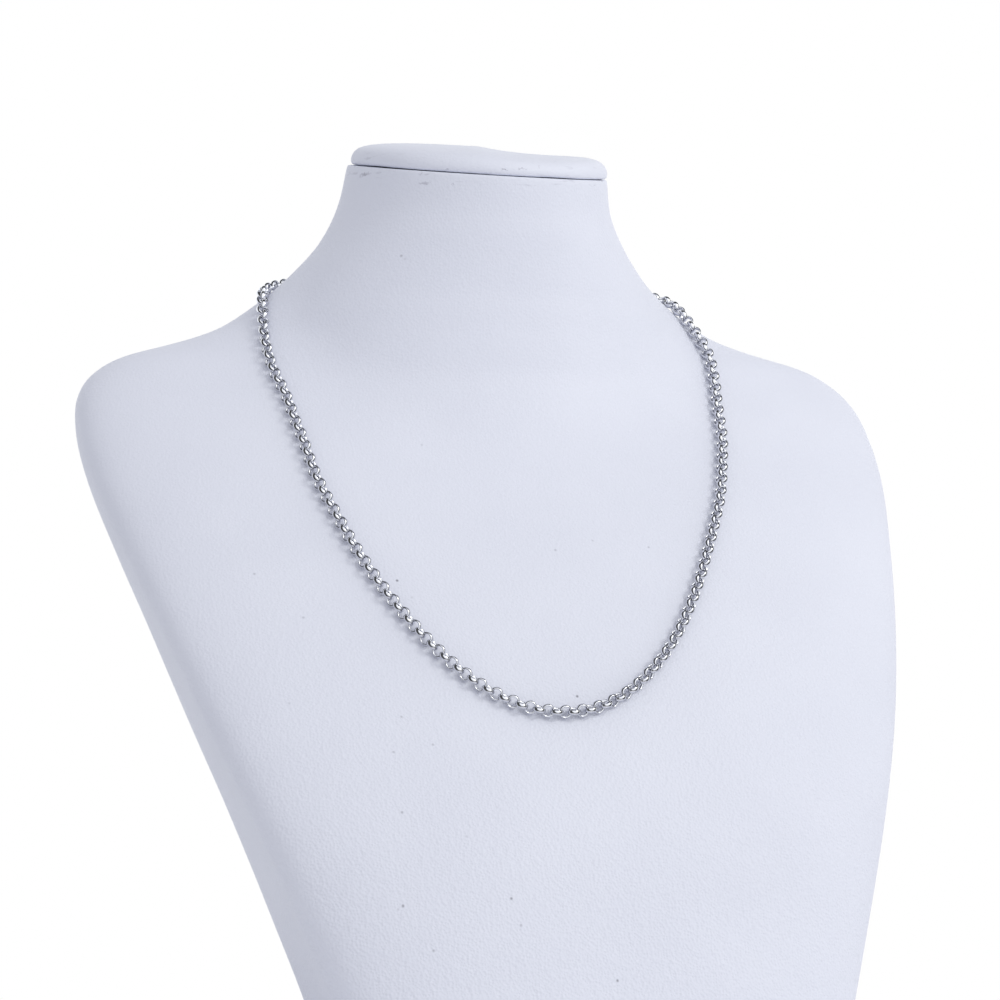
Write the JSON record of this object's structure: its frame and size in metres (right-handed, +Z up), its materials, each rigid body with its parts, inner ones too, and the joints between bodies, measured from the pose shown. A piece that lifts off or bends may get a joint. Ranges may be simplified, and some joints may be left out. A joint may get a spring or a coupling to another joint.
{
  "type": "rolo chain on a neck bust",
  "caption": "Necklace chain of round interlocked links, closed by a barrel catch, lying on a leatherette-covered neck bust with a capped neck.",
  "frame": {"origin": "on the surface that the bust stands on, under the middle of the part's box", "axes": "+Z up through the neck, -Y the way the bust faces, +X to the wearer's left"},
  "size_m": [0.2676, 0.1966, 0.3017],
  "materials": {
    "white_leatherette": "fine grain, satin",
    "polished_steel": "polished"
  },
  "bodies": {
    "root": {"bust_body": "white_leatherette", "neck_cap": "white_leatherette", "chain": "polished_steel", "clasp": "polished_steel"}
  },
  "joints": []
}
